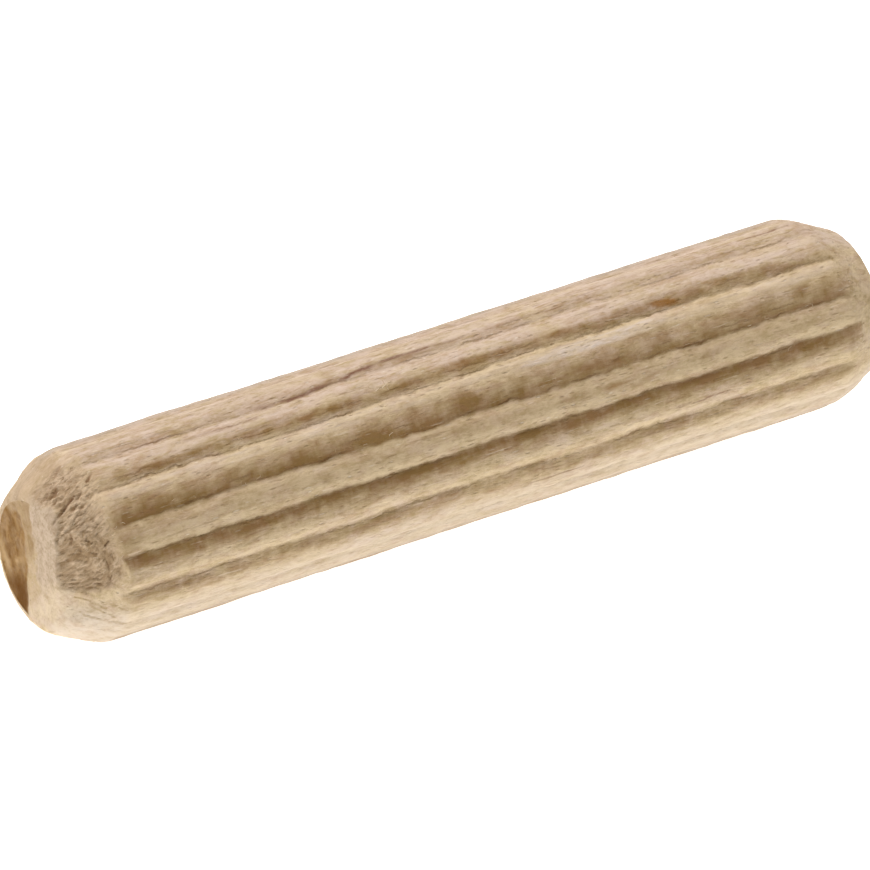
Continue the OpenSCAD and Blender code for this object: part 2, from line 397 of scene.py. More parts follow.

# ------------------------------------------------------------------ stains and painted shade, given by place: (x from the near end, angle, half length, half width in degrees, strength)
MARKS = [
    (2.35, -3, 0.95, 24, 1.0), (7.9, 42.0, 2.9, 2.8, .62), (32.0, 46.0, 4.0, 2.2, .48), (35.4, 46.2, 2.0, 1.8, .50),
    # upper ridge, behind the first valley
    (6.3, 51, 1.0, 3.0, .24), (8.7, 50.5, 1.6, 3.0, .30), (11.9, 48.7, 1.4, 2.4, .95), (14.2, 51, 1.0, 1.8, .75), (17.7, 52.6, 2.2, 2.8, .95),
    (22.8, 52, 1.2, 3.0, .40), (26.0, 53, 1.4, 3.0, .55), (33.0, 54, 0.9, 1.8, .65), (29.2, 60, 0.7, 0.9, .6), (36.1, 62, 1.5, 0.8, .8),
    (37.2, 47.5, 0.5, 1.0, .8), (8.5, 42.3, 2.0, 0.7, .65), (3.9, 45.6, 0.9, 1.5, .48), (20.5, 47.5, 0.9, 1.0, .45), (31.0, 51.5, 0.8, 1.0, .45),
    (24.5, 66, 1.6, 0.9, .30), (12.0, 68, 1.4, 0.9, .30), (7.2, 74, 0.5, 2.0, .35), (31.5, 71, 1.5, 0.9, .30),
    # lower side of the ridge above the second valley
    (5.1, 30.5, 1.15, 3.2, 1.0), (7.0, 31, 0.9, 3.0, .55), (6.9, 27.2, 0.9, 1.5, .62), (9.8, 31, 0.9, 3.0, .70), (13.0, 31.5, 1.7, 3.2, .80), (16.8, 32.5, 0.8, 3.2, .80),
    (20.7, 33.4, 2.8, 3.0, .85), (25.2, 33.0, 1.6, 2.8, .70), (27.7, 32, 0.7, 3.0, .60), (33.6, 34.5, 1.8, 1.9, .75), (36.6, 27.6, 1.6, 2.2, .95),
    (22.6, 26.2, 1.5, 0.6, .7), (4.6, 26.2, 1.6, 0.7, .7), (31.3, 31, 0.9, 2.6, .5),
    # lower side of the next ridge
    (4.0, 9, 1.8, 5.0, .60), (7.9, 11, 0.6, 6.2, .95), (4.0, 17.5, 1.6, 2.0, .26), (6.0, 15.0, 1.2, 2.2, .30), (10.9, 11, 0.6, 5.0, .55), (11.9, 9, 0.3, 5.0, .5), (14.3, 10, 0.5, 5.2, .60), (15.3, 9, 0.3, 5.0, .6),
    (16.5, 10, 0.5, 5.4, .65), (19.2, 11, 0.7, 5.2, .95), (21.8, 10, 0.5, 4.6, .60), (24.0, 8.5, 1.2, 3.8, .45), (28.7, 10, 0.7, 5.0, .65),
    (31.7, 11, 0.3, 4.2, .70), (35.9, 11, 0.45, 5.2, .95), (33.6, 8, 0.9, 3.6, .50), (26.2, 9, 0.5, 4.2, .45), (37.0, 8, 0.8, 4.0, .5),
    # middle ridge
    (4.6, 0.5, 2.2, 4.6, .62), (7.6, -1.5, 1.4, 3.4, .35), (11.9, -5.8, 0.45, 4.0, .70), (14.2, -6, 0.7, 3.6, .40), (18.7, -4, 0.8, 3.8, .50), (24.0, -6.2, 0.7, 3.4, .70), (26.1, -7.2, 0.75, 2.3, .80),
    (30.6, -6.6, 0.85, 2.8, .75), (35.9, -6, 0.5, 2.8, .45), (7.5, -5, 0.7, 3.0, .30), (21.5, -6, 0.5, 2.6, .35), (33.2, -5, 0.5, 3.0, .35),
    # upper side of the ridge below it
    (12.5, -17.6, 1.2, 2.0, .70), (21.5, -18.8, 0.6, 2.8, .80), (26.7, -18.6, 0.8, 1.6, .60), (30.6, -21, 0.85, 3.0, .80), (33.0, -20.4, 0.7, 3.0, .75),
    (35.2, -20, 0.5, 3.0, .70), (37.1, -20.4, 0.9, 3.0, .85), (5.0, -22, 0.9, 3.2, .55), (16.4, -20, 1.0, 3.0, .55), (8.8, -21, 0.8, 3.2, .50),
    (18.6, -23, 0.6, 3.0, .5), (24.2, -22, 0.6, 3.0, .45), (30.1, -31.4, 1.1, 1.3, .85), (29.6, -34.4, 0.7, 0.5, .5),
    # upper side of the one after
    (3.0, -41, 0.6, 2.4, .62), (5.2, -43, 0.7, 3.0, .52), (7.6, -44.5, 0.8, 3.2, .60), (14.6, -42.5, 1.2, 3.4, .55), (18.0, -41.5, 0.9, 3.2, .65),
    (22.0, -41, 0.6, 3.0, .60), (28.8, -43, 1.2, 3.0, .70), (32.3, -43.6, 0.5, 2.0, .75), (34.6, -42, 0.5, 2.4, .55), (10.6, -42, 1.0, 2.6, .45),
    (25.0, -41, 0.9, 2.4, .40), (36.6, -41, 0.7, 2.4, .55),
    # small streaks low down
    (22.5, -53, 2.0, 1.0, .55), (15.2, -50.5, 0.7, 0.8, .5), (8.4, -60, 1.8, 0.6, .45), (27.0, -67.5, 0.9, 1.4, .45), (33.0, -57, 0.8, 0.8, .40),
    (35.0, -68, 0.7, 1.6, .35), (18.0, -77, 1.6, 1.0, .40), (11.5, -66, 0.8, 1.0, .3), (4.5, -68, 0.8, 1.2, .3),
]
rng = np.random.default_rng(20)
for _ in range(130):                                    # the sides turned away are marked in the same way
    t = rng.uniform(80, 282)
    k = np.argmin(np.abs(VALLEYS + SHIFT - ((t - (UP - 180)) % 360 + (UP - 180))))
    t = VALLEYS[k] + SHIFT[k] + rng.choice((-1, 1)) * rng.uniform(2.5, 7.0)
    MARKS.append((rng.uniform(3.0, 37.2), t, rng.uniform(0.3, 1.6), rng.uniform(1.2, 4.6), rng.uniform(0.3, 0.9)))

flow = fbm(PX / 1.1, PY / 0.45, PZ / 0.45, 81, 3)
# brown marks: partly real stain, partly painted shade on the ridge flanks that turn away from the light
stain_and_shade = np.zeros_like(X)
for mx, mt, ml, mw, ms in MARKS:
    dt = (T - mt + 180) % 360 - 180
    near = (np.abs(dt) < mw * 2.4) & (np.abs(XL - mx) < ml * 2.4)
    if not near.any():
        continue
    q = np.sqrt(((XL[near] - mx) / ml) ** 2 + (dt[near] / mw) ** 2) + 0.42 * flow[near] + 0.2 * fine[near]
    stain_and_shade[near] = np.maximum(stain_and_shade[near], ms * smooth(1.35, 0.35, q))

# and the places where the wood is left free of stain and painted shade: (x from the near end, angle, half length, half
# width in degrees, share)
clean = np.zeros_like(X)
for mx, mt, ml, mw, ms in ((3.4, 39.8, 1.4, 2.8, .7), (31.3, 26.6, 1.4, 2.0, .75), (23.4, 27.0, 2.4, 1.4, .5), (36.6, 34.0, 1.5, 3.6, .75), (37.9, 30.0, 0.6, 2.4, .7),
                           (34.9, -16.0, 0.9, 1.4, .6), (37.6, -21.0, 1.1, 4.5, .35), (4.9, 2.4, 2.0, 1.4, .45), (3.0, -27.0, 0.7, 3.4, .7), (2.7, 27.0, 0.6, 4.0, .6),
                           (30.6, 40.0, 1.2, 2.4, .5), (31.5, -38.5, 0.7, 1.6, .6), (34.5, -41.5, 0.6, 1.6, .45), (4.4, 52.5, 0.9, 2.6, .6), (22.8, 9.0, 1.4, 1.8, .3)):
    dt = (T - mt + 180) % 360 - 180
    q = np.sqrt(((XL - mx) / ml) ** 2 + (dt / mw) ** 2) + 0.42 * flow + 0.2 * fine
    clean = np.maximum(clean, ms * smooth(1.35, 0.35, q))

# painted shade on the walls of the valleys, all along: on the lower side above the middle and on the upper side below
# it
LONG = ((-1.2, 0.0), (0.5, 0.90), (2.2, 1.0), (5.0, 0.76), (8.0, 0.60), (11.0, 0.50), (14.0, 0.26), (18.5, 0.0))
LOW = ((-0.5, 0.0), (1.0, 0.75), (3.0, 1.0), (5.5, 0.84), (8.5, 0.56), (11.5, 0.26), (15.0, 0.0))
SOFT = ((-0.2, 0.0), (1.6, 0.14), (3.0, 0.46), (4.8, 0.64), (7.0, 0.56), (9.8, 0.26), (12.5, 0.0))
FAINT = ((-1.5, 0.0), (1.4, 0.20), (4.2, 0.28), (6.8, 0.20), (9.5, 0.0))
WIDE = ((-1.6, 0.0), (1.0, 0.26), (3.2, 0.48), (6.0, 0.46), (9.0, 0.30), (12.5, 0.08), (16.0, 0.0))
WALLS = {49.25: (1, FAINT, 1.0), 26.75: (1, SOFT, 1.0), 4.25: (1, LONG, 1.0), -18.25: (-1, LOW, 1.0), -40.75: (-1, WIDE, 1.0), 71.75: (1, FAINT, 0.5),
         94.25: (-1, FAINT, 0.8), 116.75: (-1, SOFT, 1.0), 139.25: (-1, LONG, 0.95), 161.75: (1, LOW, 0.95), -175.75: (1, LONG, 0.95), -153.25: (1, LOW, 0.9),
         -130.75: (-1, LOW, 0.85), -108.25: (-1, WIDE, 0.85), -85.75: (-1, FAINT, 0.4)}
valley_wall_shade = np.zeros_like(X)
for place, (sign, table, share) in WALLS.items():
    kk = int(round((((place - UP) + 180) % 360 - 180) / PITCH)) + 8
    v = VALLEYS[kk] + SHIFT[kk]
    dt = ((T + wander - v + 180) % 360 - 180) * sign
    dt = dt + np.where(dt > 1.5, 2.6 * flow + 1.2 * fine, 0.4 * fine) * smooth(0.2, 3.0, dt)
    valley_wall_shade = np.maximum(valley_wall_shade, share * (1 - (0.16 if place == 4.25 else 0.0) * smooth(17, 24, XL)) * np.interp(dt, [p[0] for p in table], [p[1] for p in table], left=0, right=0))
chatter = 0.5 + 0.5 * fbm(PX / 0.34, PY / 1.2, PZ / 1.2, 83, 3)
blotch = fbm(PX / 0.60 + 0.4 * ragged, PY / 0.45, PZ / 0.45 + 0.4 * ragged, 84, 3, 0.5)
fade = smooth(1.2, 3.3, XL + 0.6 * ragged) * smooth(0.9, 2.4, XR + 0.5 * ragged)
# a faint painted shade down the middle of the ridge that faces the camera, where little light falls (-8.5 to 1
# degrees), and a faint darker band at 60 to 68 degrees
middle = np.maximum(0.15 * band(T, -8.5, 1.0, 2.0), 0.14 * band(T, 60.0, 68.0, 2.5))
# brown: painted shade on the valley walls and the middle ridge, with the stain marks added
brown = np.clip(np.maximum(valley_wall_shade, middle) * (0.82 + 0.30 * chatter + 0.34 * blotch), 0, 1) * fade
brown = np.clip(brown + stain_and_shade * (0.26 + 0.20 * chatter + 0.20 * blotch) * fade, 0, 1.1) * (1 - clean)

# just past the torn patch the wood is as brown as it is
brown = np.clip(brown + 0.25 * smooth(1.3, 1.9, XL) * smooth(3.1, 2.3, XL + 0.3 * ragged) * band(TH, -22, 15, 5) * (1 - torn), 0, 1.1)

# painted shade: the thin dark line in the bottom of each valley, broken here and there, and a fainter second one up its
# wall: the angle to it, and how strong it is
groove = np.full_like(X, 9.0)
groove_k = np.zeros_like(X)
groove_k2 = np.zeros_like(X)
broken = smooth(-0.30, 0.35, fbm(PX / 0.9, PY / 0.6, PZ / 0.6, 86, 3))
second = smooth(0.0, 0.5, fbm(PX / 1.3, PY / 0.4, PZ / 0.4, 87, 3))
for place, strength in ((49.25, .55), (26.75, .66), (4.25, .85), (-18.25, .56), (-40.75, .48), (71.75, .30), (-63.25, .25), (94.25, .5), (116.75, .6), (139.25, .7),
                        (161.75, .6), (-175.75, .7), (-153.25, .6), (-130.75, .7), (-108.25, .5), (-85.75, .3)):
    kk = int(round((((place - UP) + 180) % 360 - 180) / PITCH)) + 8
    side = 1 if place in (49.25, 26.75, 4.25, 71.75) else -1
    dt = ((T + wander - VALLEYS[kk] - SHIFT[kk] + 180) % 360 - 180) * side - 0.7 + 0.35 * fine + 0.4 * ragged
    here = np.abs(dt) < 9
    groove[here] = dt[here]
    groove_k = np.where(here, strength * (1 - clean) * (0.15 + 0.85 * broken) * fade * smooth(0.6, 4.5, XR) * band(dt, -4.5, 2.4, 0.8), groove_k)
    groove_k2 = np.where(here, 0.62 * strength * second * fade * band(dt, 1.8, 7.0, 0.8), groove_k2)

# painted highlight: pale streaks on the upper edge of the second ridge down, which faces the light from above, and the
# smooth lower side
pale_highlight = band(T, 17.5, 24.8, 1.2) * shank * (0.40 + 0.15 * band(XL, 2.5, 7, 1.2) + 0.75 * band(XL, 22.0, 29.0, 1.5))
pale_highlight = np.clip(pale_highlight * (0.6 + 0.9 * fbm(PX / 1.6, PY / 0.18, PZ / 0.18, 85, 3)), 0, 1)

# red-brown hair lines and the one orange spot
red = np.zeros_like(X)


def line(points, width, strength):
    global red
    pts = np.array(points, float)
    for (x0, t0), (x1, t1) in zip(pts[:-1], pts[1:]):
        k = 0.0716
        px, py = XL, T * k + 0.05 * fine + 0.03 * ragged
        ax, ay, vx, vy = x0, t0 * k, x1 - x0, (t1 - t0) * k
        t = np.clip(((px - ax) * vx + (py - ay) * vy) / (vx * vx + vy * vy), 0, 1)
        d = np.hypot(px - ax - vx * t, py - ay - vy * t)
        red = np.maximum(red, strength * smooth(width, width * 0.1, d) * np.clip(0.80 + 1.3 * flow + 0.5 * ragged, 0.2, 1))


line([(10.4, 49.6), (11.5, 49.0), (12.6, 48.4), (13.4, 50.2), (14.4, 51.2), (15.0, 51.0), (15.6, 53.4), (16.8, 54.6), (17.6, 54.8)], 0.15, 1.0)
line([(17.6, 54.8), (18.4, 54.7), (19.2, 54.5)], 0.11, .75)
line([(19.4, 54.5), (20.0, 54.1), (20.8, 53.5)], 0.07, .5)
line([(4.6, 48.8), (6.4, 50.2), (8.0, 49.8)], 0.06, .45)
line([(22.0, 53.8), (23.6, 54.4), (25.4, 53.4)], 0.06, .5)
line([(30.2, 58.6), (32.0, 57.8), (33.4, 58.2)], 0.06, .5)
line([(12.6, 39.8), (14.4, 39.2), (15.8, 39.8)], 0.05, .35)
line([(34.8, 62.0), (36.0, 61.6), (37.4, 61.8)], 0.07, .8)
line([(6.6, 42.6), (8.2, 42.2), (10.2, 41.6)], 0.07, .6)
line([(20.8, -51.8), (22.4, -52.6), (24.2, -52.2)], 0.06, .6)
line([(28.8, -31.9), (30.0, -32.6), (31.4, -32.0)], 0.06, .7)
line([(24.6, 57.2), (26.0, 57.6), (27.4, 57.0)], 0.05, .5)
spot = smooth(1.25, 0.70, np.sqrt(((XL - 29.80) / 0.66) ** 2 + ((T - 31.5 + 2.6 * (XL - 29.80)) / 2.5) ** 2) + 0.22 * flow)
spot2 = 0.45 * smooth(1.2, 0.4, np.sqrt(((XL - 26.1) / 0.7) ** 2 + ((T + 7.4) / 2.2) ** 2) + 0.35 * flow)
orange = np.maximum(spot, spot2)

# near face
low_down = smooth(-0.9, -1.9, FQ)
burnt = deep_side * (0.90 + 0.18 * fbm(PX, PY / 0.30, PZ / 0.30, 91, 3))
step_brown = step_side * (1 - deep_side) * (1 - 0.9 * smooth(-1.2, -2.0, FQ)) * (1 - 0.50 * smooth(0.5, -0.3, FQ + 0.3 * ragged))
burnt_dark = NEAR_FACE * deep_side * np.clip(0.92 * np.exp(-(((FP + 1.84 - 0.42 * (FQ + 1.1) + 0.30 * ragged) / 0.70) ** 2 + ((FQ + 1.22) / 0.86) ** 2) ** 1.5)
                                            + 0.70 * np.exp(-((FP + 2.25) / 0.42) ** 2 - ((FQ + 0.46) / 0.42) ** 2)
                                            + 0.75 * np.exp(-((FP + 1.79 + 0.1 * ragged) / 0.07) ** 2 - ((FQ - 0.36) / 0.36) ** 2)
                                            + 0.45 * np.exp(-((FP + 0.80 + 0.2 * ragged) / 0.26) ** 2 - ((FQ - 2.2) / 0.42) ** 2), 0, 1)
# lighter patches in the burnt brown: painted highlights of its gloss
burnt_highlight = NEAR_FACE * np.clip(np.exp(-((FP + 2.20 + 0.1 * ragged) / 0.20) ** 2 - ((FQ - 0.5) / 0.75) ** 2)
                                             + 0.55 * np.exp(-((FP + 0.86 + 0.2 * ragged) / 0.38) ** 2 - ((FQ - 0.16) / 0.26) ** 2)
                                             + np.exp(-((FP + 1.34) / 0.13) ** 2 - ((FQ - 0.16) / 0.13) ** 2), 0, 1) * deep_side
smooth_face = np.maximum(NEAR_FACE * (1 - step_side) * (1 - low_down) * smooth(2.7, 1.9, FQ), near_cham * smooth(0.55, 0.20, XL) * band(TH, 2, 56, 8) * (1 - NEAR_FACE)) * (1 - torn)
# painted highlight along the raised edge of the burnt patch
step_edge_highlight = NEAR_FACE * np.exp(-((FP - edge_in + wob - 0.16) / 0.07) ** 2) * smooth(-0.2, 0.7, FQ) * smooth(2.5, 2.1, FQ) * np.clip(0.6 + 0.8 * flow, 0, 1)
speck_face = NEAR_FACE * np.clip(0.35 * np.exp(-((FP - edge_in + wob - 0.30) / 0.05) ** 2) * smooth(0.4, 0.9, FQ) * smooth(1.9, 1.3, FQ) + 0.8 * np.exp(-((FP - 0.56) / 0.09) ** 2 - ((FQ - 0.62) / 0.14) ** 2) + 0.45 * np.exp(-((FP - 1.0) / 0.12) ** 2 - ((FQ + 1.25) / 0.08) ** 2), 0, 1)
torn_tone = np.clip(0.36 + 0.32 * upper + 0.22 * band(TH, 5, 34, 7) * smooth(0.9, 1.6, XL) + rough_near * (0.75 * (cown - 0.5) * (0.3 + 0.7 * upper) + 0.5 * (hown - 0.5) + 1.3 * (gown - 0.5) * (1 - upper) + 0.5 * fine), 0, 1)
for tx, tt0, sx_, st_, k in ((0.68, 19, 0.30, 5, .22), (1.40, 22, 0.45, 7, .34), (2.0, 28, 0.45, 6, .26), (1.19, 49, 0.35, 4, .22), (1.38, 35.5, 0.30, 4, -.18),
                           (1.09, -34, 0.5, 6, .30), (1.3, 5, 0.5, 6, .12), (0.42, -3, 0.30, 5, -.16), (0.70, 31, 0.25, 4, -.10), (2.0, 46, 0.35, 5, .12)):
    torn_tone = np.clip(torn_tone + k * np.exp(-((XL - tx) / sx_) ** 2 - ((TH - tt0) / st_) ** 2), 0, 1)
# a thin lip near the far end: a shallow groove, painted darker as painted shade
far_lip = np.zeros_like(X)
for (x0, t0, x1, t1) in ((37.90, 29.0, 38.45, 19.3), (38.45, 19.3, 38.88, 5.5), (38.88, 5.5, 39.22, -7.0)):
    far_lip = np.maximum(far_lip, crack(x0, t0, x1, t1, 0.09, 1.0))
H -= 0.020 * far_lip
far_lip_shade = far_lip * np.clip(0.75 + 0.6 * ragged, 0, 1)
# painted shade in the gaps between the torn chips and inside the splits, plus dark specks on the face
torn_dark = np.clip(rough_near * (0.16 * smooth(0.16, 0.0, c2 - c1) * upper + 0.30 * smooth(0.12, 0.0, g2 - g1) * (1 - upper)) + cracks * (4.5 + 3.0 * ragged) * near_cham + speck_face, 0, 1)
# painted shade along the far lip, then soft streaks on the smooth part of the chamfer
streaks_and_lip_shade = 1.0 * far_lip_shade                              # soft streaks on the smooth part of the chamfer
for (x0, t0, x1, t1, w, k) in ((0.00, -48.3, 0.98, -50.8, 0.12, 1.0), (0.10, -60.2, 1.35, -62.0, 0.09, .8), (1.55, -60.6, 2.35, -63.2, 0.10, .9), (0.30, -52.0, 1.20, -55.5, 0.07, .7),
                              (1.25, -55.0, 1.62, -57.5, 0.08, .8), (1.55, -48.8, 2.10, -50.4, 0.08, .8), (0.05, -42.0, 0.45, -43.5, 0.08, .7), (0.60, -46.0, 1.00, -47.6, 0.07, .7),
                              (1.10, -46.8, 1.50, -47.8, 0.10, .8), (1.15, -32.0, 1.35, -34.5, 0.14, .6), (0.3, 62.0, 0.9, 66.0, 0.10, .4), (1.2, 70.0, 1.9, 74.0, 0.12, .4)):
    streaks_and_lip_shade = np.maximum(streaks_and_lip_shade, k * crack(x0, t0, x1, t1, w, 1.0))
streaks_and_lip_shade = np.clip(streaks_and_lip_shade * (0.75 + 0.5 * ragged), 0, 1)
calm = np.clip(band(T, -120, -30, 4) + 0.6 * band(T, 4, 14, 3), 0, 1)
# straw coloured in the middle; paler below, a painted fill light from underneath; rosier on top, a painted tint of the
# light from above, with random rosy tone elsewhere
under = np.clip(band(T, -100, -54, 8) * 0.60 * (1 - NEAR_FACE) + 0.35 * NEAR_FACE * low_down * (1 - deep_side) + 0.30 * near_cham * band(TH, -150, -46, 4) * smooth(0, 0.25, XL), 0, 1)
tan = near_cham * band(TH, 52, 125, 7) * (1 - NEAR_FACE) * smooth(2.2, 1.3, XL) * (1 - torn)
# painted sheen: greyer and darker along the top and bottom edges, where the surface turns away
edge_sheen = np.clip(band(T, 77, 90, 4) + 0.55 * band(T, -100, -77, 4) * (1 - near_cham), 0, 1) * (0.7 + 0.5 * ragged) * (1 - ANY_FACE)
rosy = np.clip(band(T, 34, 140, 9) - 0.30 * band(T, -24, 6, 5) + 0.8 * band(T, -150, -95, 9) + 0.9 * fbm(PX / 2.2, PY / 0.8, PZ / 0.8, 95, 3), 0, 1)

P = P + N * H[..., None]


# ------------------------------------------------------------------ mesh
def build_mesh(P, name, fields):
    verts = np.vstack([P.reshape(-1, 3), P[0].mean(0), P[-1].mean(0)]) * MM
    i = np.arange(NS - 1)[:, None]; j = np.arange(NT)[None, :]; k = (j + 1) % NT
    quads = np.stack([i * NT + j, (i + 1) * NT + j, (i + 1) * NT + k, i * NT + k], -1).reshape(-1, 4)
    a = NS * NT; b = a + 1
    j1 = np.arange(NT); k1 = (j1 + 1) % NT
    cap0 = np.stack([np.full(NT, a), j1, k1], -1)
    cap1 = np.stack([np.full(NT, b), (NS - 1) * NT + k1, (NS - 1) * NT + j1], -1)
    loops = np.concatenate([quads.ravel(), cap0.ravel(), cap1.ravel()])
    starts = np.concatenate([np.arange(len(quads)) * 4, len(quads) * 4 + np.arange(2 * NT) * 3])
    me = bpy.data.meshes.new(name)
    me.vertices.add(len(verts)); me.vertices.foreach_set("co", verts.ravel())
    me.loops.add(len(loops)); me.loops.foreach_set("vertex_index", loops.astype(np.int32))
    me.polygons.add(len(starts)); me.polygons.foreach_set("loop_start", starts.astype(np.int32))
    me.update(calc_edges=True)
    me.validate()
    me.polygons.foreach_set("use_smooth", np.ones(len(me.polygons), bool))
    for key, field in fields.items():
        at = me.attributes.new(key, "FLOAT", "POINT")
        at.data.foreach_set("value", np.concatenate([field.ravel(), [field[0].mean(), field[-1].mean()]]).astype(np.float32))
    me.update()
    return me


# the painted highlights on the burnt patch and its raised edge
burnt_highlight = np.maximum(burnt_highlight, 0.8 * step_edge_highlight)
FIELDS = {"brown": brown, "pale_highlight": pale_highlight, "red": red, "orange": orange, "burnt": burnt, "burnt_dark": burnt_dark, "burnt_highlight": burnt_highlight,
          "smooth_face": np.clip(smooth_face, 0, 1) * (1 - speck_face), "torn": np.clip(torn, 0, 1), "torn_dark": torn_dark, "torn_tone": torn_tone, "streaks_and_lip_shade": streaks_and_lip_shade, "step_brown": step_brown, "rosy": rosy * (1 - 0.7 * near_cham), "under": under, "tan": tan, "groove": groove, "groove_k": groove_k, "groove_k2": groove_k2, "end_grain": FAR_FACE, "shank": shank, "edge_sheen": edge_sheen, "calm": calm, "run": S, "lean": lean}
me = build_mesh(P, "dowel_wood", FIELDS)
pin = bpy.data.objects.new("dowel_wood", me)
bpy.context.scene.collection.objects.link(pin)


# ------------------------------------------------------------------ beech
class Graph:
    def __init__(self, mat):
        mat.use_nodes = True
        self.t = mat.node_tree
        self.bsdf = self.t.nodes["Principled BSDF"]
        tc = self.t.nodes.new("ShaderNodeTexCoord")
        m = self.t.nodes.new("ShaderNodeVectorMath"); m.operation = "SCALE"
        m.inputs["Scale"].default_value = 1000.0
        self.t.links.new(tc.outputs["Object"], m.inputs[0])
        self.mm = m.outputs["Vector"]

    def put(self, socket, value):
        if hasattr(value, "is_linked") or hasattr(value, "links"):
            self.t.links.new(value, socket)
        else:
            socket.default_value = value

    def stretched(self, sx, sy, sz, move=(0, 0, 0)):
        n = self.t.nodes.new("ShaderNodeMapping")
        n.inputs["Scale"].default_value = (sx, sy, sz)
        n.inputs["Location"].default_value = move
        self.t.links.new(self.mm, n.inputs["Vector"])
        return n.outputs["Vector"]

    def noise(self, vec, detail=2.0, rough=0.5, distort=0.0):
        n = self.t.nodes.new("ShaderNodeTexNoise")
        n.inputs["Scale"].default_value = 1.0
        n.inputs["Detail"].default_value = detail
        n.inputs["Roughness"].default_value = rough
        n.inputs["Distortion"].default_value = distort
        self.t.links.new(vec, n.inputs["Vector"])
        return n.outputs["Fac"]

    def cells(self, vec, randomness=1.0):
        n = self.t.nodes.new("ShaderNodeTexVoronoi")
        n.inputs["Scale"].default_value = 1.0
        n.inputs["Randomness"].default_value = randomness
        self.t.links.new(vec, n.inputs["Vector"])
        return n.outputs["Distance"], n.outputs["Color"]

    def math(self, op, a, b=0.0, c=0.0, clamp=False):
        n = self.t.nodes.new("ShaderNodeMath"); n.operation = op; n.use_clamp = clamp
        for s, v in zip(n.inputs, (a, b, c)):
            self.put(s, v)
        return n.outputs[0]

    def span(self, v, a, b, c=0.0, d=1.0):
        n = self.t.nodes.new("ShaderNodeMapRange"); n.interpolation_type = "SMOOTHSTEP"
        for name, x in (("From Min", a), ("From Max", b), ("To Min", c), ("To Max", d)):
            n.inputs[name].default_value = x
        self.put(n.inputs["Value"], v)
        return n.outputs["Result"]

    def field(self, name):
        n = self.t.nodes.new("ShaderNodeAttribute"); n.attribute_name = name
        return n.outputs["Fac"]

    def mix(self, fac, a, b, kind="MIX"):
        n = self.t.nodes.new("ShaderNodeMix"); n.data_type = "RGBA"; n.blend_type = kind
        n.clamp_factor = True
        ins = [s for s in n.inputs if s.enabled]
        self.put(n.inputs[0], fac)
        for s, v in ((n.inputs[6], a), (n.inputs[7], b)):
            self.put(s, v if hasattr(v, "links") else (*v, 1.0))
        return n.outputs[2]


